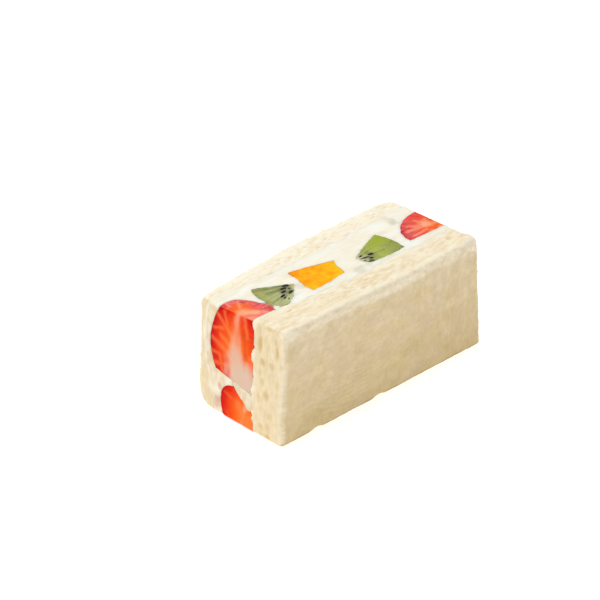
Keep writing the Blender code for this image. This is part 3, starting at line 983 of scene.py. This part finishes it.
for node, berry in BERRIES.items():
    piece = skin_over(node, berry["name"], BERRY_QUADS, 1)
    points, normals = read(piece)
    on = lie_in_berry(berry, straighten(points), normals)
    inside = ease((on.share - 0.25) / 0.25) * ease((1.0 - on.share) / 0.12)
    vein = np.maximum(0.22 * bundles(on.out, on.at, 111) * inside, 0.42 * on.end_pale)
    core = np.maximum(on.core, 0.6 * on.cut_pale)
    dark = np.maximum(0.27 * on.end_dark, 0.65 * on.cut_dark)
    haze = np.zeros(len(points))
    # The cut face gets a painted pink sheen for the light it reflects from above.
    if berry["hub"]:
        feather = feathers(on.flat, berry["hub"], 115)
        haze = haze_of(berry, on, feather)
        streak = on.cut * ease(feather + 0.1) * ease((1.0 - on.share) / 0.15)
        vein = np.maximum(vein, 0.14 * streak)
    bulge = press_on(BREAD, points, PRESSED, lobes(on.at))[0]
    rise = 0.07 * vein + 0.06 * waves(on.at, 1.2, 113)
    write(piece, points + (bulge + normals * rise[:, None]) * MM)
    skimmed = on.cut * berry["skim"] * np.maximum(0.0, 1.0 - on.share)
    paint(
        piece, share=on.share - skimmed, core=0.92 * core * (1.0 - 0.7 * dark), vein=vein,
        calyx=1.0 - on.along, haze=haze, dark=dark,
    )
    hand_over(piece, "strawberry", strawberry, node)

# %% [markdown]
# Each kiwi piece is a wedge of a round slice, with its point in the pale core and its arc at the
# skin. Fine streaks run outwards, and near the core the seeds sit in grey, glassy chambers. The
# green goes from the dull tone of one wedge to the fresh one of the other, so both share this
# material. Its cells are as small as the strawberry's and are drawn as coarse.

# %% Cut kiwi flesh: green jelly with a fine radial grain
kiwi, tree, shader, place = new_material(
    "cut_kiwi_flesh", Roughness=0.35, IOR=1.36, Specular_IOR_Level=0.2, Subsurface_Weight=0.2,
    Subsurface_Scale=1.2 * MM,
)
shader.inputs["Subsurface Radius"].default_value = (0.6, 1.0, 0.2)

share, vein, light, chamber, fresh, ripe = [
    add_node(tree, "ShaderNodeAttribute", attribute_name=name)
    for name in ("share", "vein", "light", "chamber", "fresh", "ripe")
]
dull_flesh = add_node(
    tree, "ShaderNodeValToRGB", {"Fac": (share, "Fac")},
    stops=((0.12, "D2C89C"), (0.3, "A8A880"), (0.55, "A8B074"), (0.85, "AEB474"), (1.0, "9C965E")),
)
fresh_flesh = add_node(
    tree, "ShaderNodeValToRGB", {"Fac": (share, "Fac")},
    stops=((0.1, "C8C498"), (0.3, "A8B052"), (0.6, "A4B230"), (1.0, "98AC1A")),
)
flesh = add_node(
    tree, "ShaderNodeMix",
    {"Factor": (fresh, "Fac"), "A": (dull_flesh, "Color"), "B": (fresh_flesh, "Color")},
    data_type="RGBA",
)
colour = (flesh, "Result")
for amount, over in ((vein, "5E6A30"), (chamber, "6C684A"), (light, "D6D8AC"), (ripe, "B89A1C")):
    layer = {"Factor": (amount, "Fac"), "A": colour, "B": linear(over)}
    colour = (add_node(tree, "ShaderNodeMix", layer, data_type="RGBA"), "Result")
wet = add_node(
    tree, "ShaderNodeTexNoise", {"Vector": place, "Scale": 1.0 / (CELLS * MM), "Detail": 3.0}
)
bump = add_node(tree, "ShaderNodeBump", {"Height": (wet, "Fac"), "Distance": 0.12 * MM})
finish(tree, shader, colour, bump)

# %% [markdown]
# A kiwi seed is a flat drop about 2.5 mm long with a hard, brown-black coat. It is smoother than
# the flesh, so it keeps a small soft highlight. The pits of its coat are finer than 0.1 mm, and are
# drawn at 0.5 mm.

# %% Kiwi seed: a hard dark coat
seed_coat, tree, shader, place = new_material("kiwi_seed_coat", Roughness=0.4, IOR=1.45)
HUSK = 0.5

husk = add_node(
    tree, "ShaderNodeTexNoise", {"Vector": place, "Scale": 1.0 / (HUSK * MM), "Detail": 2.0}
)
brown_black = add_node(
    tree, "ShaderNodeValToRGB", {"Fac": (husk, "Fac")}, stops=((0.35, "120E07"), (0.7, "261E10"))
)
bump = add_node(tree, "ShaderNodeBump", {"Height": (husk, "Fac"), "Distance": 0.04 * MM})
finish(tree, shader, (brown_black, "Color"), bump)

# %% [markdown]
# For each wedge the list gives the middle and the radius of its fruit, how fresh its green is, the
# place and size of each seed, and the places where it is riper and yellower.

# %% What the kiwi wedges show
KIWIS = {
    "kiwi_near": {
        "name": "near_kiwi", "middle": (-21.5, 0.7), "radius": 19.6, "fresh": 0.1,
        "seeds": (
            (-26.9, 3.6, 1.3), (-29.2, 2.6, 1.15), (-30.8, 0.8, 1.05), (-29.0, -1.2, 1.1),
            (-33.3, -1.2, 1.1), (-33.7, -2.9, 0.7), (-27.5, 1.0, 0.5), (-33.2, -4.4, 0.5),
        ),
        "ripe": ((-25.3, 2.4, -24.3, 1.9, 1.3), (-37.4, 8.0, -36.0, 6.6, 1.4)),
    },
    "kiwi_far": {
        "name": "far_kiwi", "middle": (6.8, -1.6), "radius": 22.2, "fresh": 0.9,
        "seeds": (
            (14.0, -2.5, 1.1), (12.0, -4.7, 0.8), (10.6, -6.3, 0.8), (11.1, -3.3, 0.8),
            (9.8, -3.0, 0.75), (9.8, -1.1, 0.8), (8.6, -2.8, 0.5), (9.4, -6.2, 0.5), (8.6, -4.6, 0.5),
        ),
        "ripe": ((14.7, 0.9, 14.9, 1.0, 0.9), (27.0, 4.0, 28.0, 4.6, 1.6)),
    },
}
print("seeds:", [len(wedge["seeds"]) for wedge in KIWIS.values()])

# %% [markdown]
# A seed could be a dark spot in the flesh's material, but a real grain catches the light by itself
# and keeps its shape in the mesh. Each one is a small ball, flattened, and turned to point at the
# fruit's middle.

# %% Kiwi seeds
SEED = Vector((1.15, 0.46, 0.38))


def grow_seeds(name, wedge):
    """Small flattened grains in the cut face, each pointing at the fruit's middle."""
    bm = bmesh.new()
    homes = settle([(x, y, HEIGHT) for x, y, _ in wedge["seeds"]])
    for (x, y, size), home in zip(wedge["seeds"], homes):
        heading = math.atan2(y - wedge["middle"][1], x - wedge["middle"][0])
        turn = Matrix.Rotation(heading, 4, "Z")
        shape = Matrix.Diagonal((*(SEED * size * MM), 1.0))
        bmesh.ops.create_icosphere(
            bm, subdivisions=3, radius=1.0, matrix=Matrix.Translation(home) @ turn @ shape
        )
    mesh = bpy.data.meshes.new(name)
    bm.to_mesh(mesh)
    bm.free()
    mesh.shade_smooth()
    hand_over(add_object(name, mesh), "kiwi", seed_coat)


# %% [markdown]
# Both wedges are skinned in the same way, and every pattern is laid out round the fruit's middle:
# the share of the way out to the skin gives the colour, and each seed draws a dark tail outwards.
# Towards the skin, on the near side, the flesh is duller and full of dark specks.

# %% The skins of the kiwi wedges
KIWI_QUADS = 0.25
TAIL = 6.5
FAR_OFF = 9.0


def seed_places(wedge, at):
    """The dark tails of the seeds, and how far each point is from a seed, in seed sizes."""
    to_seed = np.full(len(at), FAR_OFF)
    tails = []
    for x, y, size in wedge["seeds"]:
        home = np.array((x, y))
        outwards = (home - wedge["middle"]) / np.hypot(*(home - wedge["middle"]))
        tails.append((x, y, *(home + TAIL * size * outwards), 0.65 * size))
        to_seed = np.minimum(to_seed, np.linalg.norm(at[:, :2] - home, axis=1) / size)
    return near_lines(at[:, :2], tails), to_seed


for node, wedge in KIWIS.items():
    piece = skin_over(node, wedge["name"], KIWI_QUADS, 1)
    points, normals = read(piece)
    at = straighten(points)
    x, y = at[:, 0], at[:, 1]
    away = np.linalg.norm(at[:, :2] - wedge["middle"], axis=1)
    outwards = away / wedge["radius"]
    stale = 1.0 - wedge["fresh"]
    streak = feathers(at[:, :2], wedge["middle"], 121)
    fine = feathers(at[:, :2] * 2.0, np.array(wedge["middle"]) * 2.0, 125)
    grains = waves(at, 0.8, 122, 2)
    tail, to_seed = seed_places(wedge, at)
    chamber = ease(1.0 - (to_seed - 0.8) / 1.7 + 0.4 * streak)
    dull = ease((outwards - 0.5) / 0.3) * ease((2.0 - y) / 5.0)
    specks = dull * pits(at, 1.2, 0.7, 123)
    dark = 0.55 * ease(0.1 + 1.1 * streak) + 0.5 * tail + 0.2 * ease(0.8 * grains) + 0.6 * specks
    dark += 0.3 * stale * ease((y - 0.5) / 3.0) * ease((x + 40.0) / 6.0)
    dark += 0.32 * dull * wedge["fresh"]
    tip = 0.6 * ease((4.8 + 0.8 * grains - away) / 2.4)
    bright = (0.42 - 0.3 * wedge["fresh"]) * ease(1.2 * fine - 0.1) * ease(1.2 - outwards)
    bright = np.maximum(bright, 0.6 * chamber * ease(1.6 * fine))
    bright += 0.3 * stale * ease((1.0 - y) / 7.0)
    paint(
        piece, share=outwards + 0.04 * grains, vein=np.minimum(dark, 0.85),
        light=np.maximum(tip, bright), chamber=0.75 * chamber,
        fresh=wedge["fresh"] * (1.0 - 0.4 * dull), ripe=0.45 * near_lines(at[:, :2], wedge["ripe"]),
    )
    touching = press_on([name for name in FRUIT if name != node], points, PRESSED)[0]
    rise = 0.06 * streak + 0.05 * grains
    write(piece, points + (touching + normals * rise[:, None]) * MM)
    hand_over(piece, "kiwi", kiwi, node)
    grow_seeds(wedge["name"] + "_seeds", wedge)

# %% [markdown]
# The mango is a ripe dice of soft orange flesh. Its cut is nearly smooth, with short fibres that catch
# a little light, and a slightly darker line is painted where it meets the cream, as shade in the seam.
# The fibres are about 0.5 mm apart, and the pattern draws them at 1.6 mm so that they show.

# %% Cut mango flesh: dense and juicy
mango, tree, shader, place = new_material(
    "cut_mango_flesh", Roughness=0.4, IOR=1.36, Specular_IOR_Level=0.1, Subsurface_Weight=0.2,
    Subsurface_Scale=1.2 * MM,
)
shader.inputs["Subsurface Radius"].default_value = (1.0, 0.5, 0.1)
FIBRE = 1.6

edge = add_node(tree, "ShaderNodeAttribute", attribute_name="edge")
yellow = add_node(tree, "ShaderNodeAttribute", attribute_name="yellow")
fibres = add_node(
    tree, "ShaderNodeTexNoise",
    {"Vector": place, "Scale": 1.0 / (FIBRE * MM), "Detail": 4.0, "Distortion": 0.8},
)
ripeness = add_node(
    tree, "ShaderNodeMath", {0: (fibres, "Fac"), 1: 0.9, 2: (yellow, "Fac")},
    operation="MULTIPLY_ADD",
)
orange = add_node(
    tree, "ShaderNodeValToRGB", {"Fac": (ripeness, "Value")},
    stops=((0.3, "FF8E06"), (0.65, "FFAA08"), (1.0, "FDC40C")),
)
# D98C04 is painted shade along the seam with the cream.
layer = {"Factor": (edge, "Fac"), "A": (orange, "Color"), "B": linear("D98C04")}
seam_shaded = add_node(tree, "ShaderNodeMix", layer, data_type="RGBA")
bump = add_node(tree, "ShaderNodeBump", {"Height": (fibres, "Fac"), "Distance": 0.15 * MM})
finish(tree, shader, (seam_shaded, "Result"), bump)

# %% [markdown]
# The piece turns yellower towards the far end, and its edge is painted darker where the cream meets
# it, as shade in the seam.

# %% The mango piece
MANGO_QUADS = 0.3
piece = skin_over("mango", "mango_piece", MANGO_QUADS, 1)
points, normals = read(piece)
at = straighten(points)
far = towards(["cream"], points, 2.0)[1]
ripe_spots = 0.25 * waves(at, (4.0, 2.5, 4.0), 132, 3)
# The edge next to the cream is painted darker, as shade.
paint(
    piece, edge=0.75 * ease(1.0 - (far - 0.3) / 0.7 + 0.4 * waves(at, 1.5, 133, 2)),
    yellow=0.5 + 0.018 * at[:, 0] - 0.022 * at[:, 1] + ripe_spots,
)
write(piece, points + normals * (0.08 * waves(at, (2.5, 1.2, 2.5), 131, 2))[:, None] * MM)
hand_over(piece, "mango", mango, "mango")

# %% [markdown]
# The sandwich lies on bright white paper. In the photograph the paper is so bright that it shows
# no edge and hardly a shadow, as an overexposed sweep does. A larger lamp would whiten the bread
# too, so the paper glows faintly by itself.

# %% White paper, overexposed
FLOOR_HALF = 3.0
floor_mesh = bpy.data.meshes.new("floor")
bm = bmesh.new()
bmesh.ops.create_grid(bm, x_segments=1, y_segments=1, size=FLOOR_HALF)
bm.to_mesh(floor_mesh)
bm.free()
floor = add_object("floor", floor_mesh)
floor.location.z = -0.2 * MM

paper, tree, shader, place = new_material("white_paper_sweep", Roughness=0.9)
shader.inputs["Base Color"].default_value = linear("F4F4F4")
shader.inputs["Emission Color"].default_value = linear("FFFFFF")
shader.inputs["Emission Strength"].default_value = 0.5
floor_mesh.materials.append(paper)
print("the paper measures", 2 * FLOOR_HALF, "m")

# %% [markdown]
# The light is soft, from above and from the left, and the near side lies in open shade. A white
# world, brighter overhead than at the horizon, gives the shade its light. One large round lamp
# above the sandwich and a little behind it gives the cut face its extra brightness.

# %% Sky and lamp
SKY_LOW, SKY_HIGH = 0.27, 0.93
KEY_FROM = Vector((-0.3, 0.35, 1.0))
KEY_AWAY = 1.3

world = bpy.data.worlds.new("studio")
bpy.context.scene.world = world
world.use_nodes = True
tree = world.node_tree
sky = tree.nodes["Background"]
sky.inputs["Color"].default_value = linear("FFFFFF")
direction = add_node(tree, "ShaderNodeTexCoord")
upward = add_node(tree, "ShaderNodeSeparateXYZ", {"Vector": (direction, "Generated")})
brightness = add_node(
    tree, "ShaderNodeMapRange", {"Value": (upward, "Z"), "To Min": SKY_LOW, "To Max": SKY_HIGH}
)
tree.links.new(brightness.outputs["Result"], sky.inputs["Strength"])

key = add_object("key_light", bpy.data.lights.new("key_light", "AREA"))
key.data.shape = "DISK"
key.data.size = 0.9
key.data.energy = 6.5
key.location = KEY_FROM.normalized() * KEY_AWAY
key.rotation_euler = (-KEY_FROM).to_track_quat("-Z", "Y").to_euler()
bpy.context.scene.view_settings.view_transform = "Standard"
print("the lamp gives", key.data.energy, "W from", KEY_AWAY, "m away")
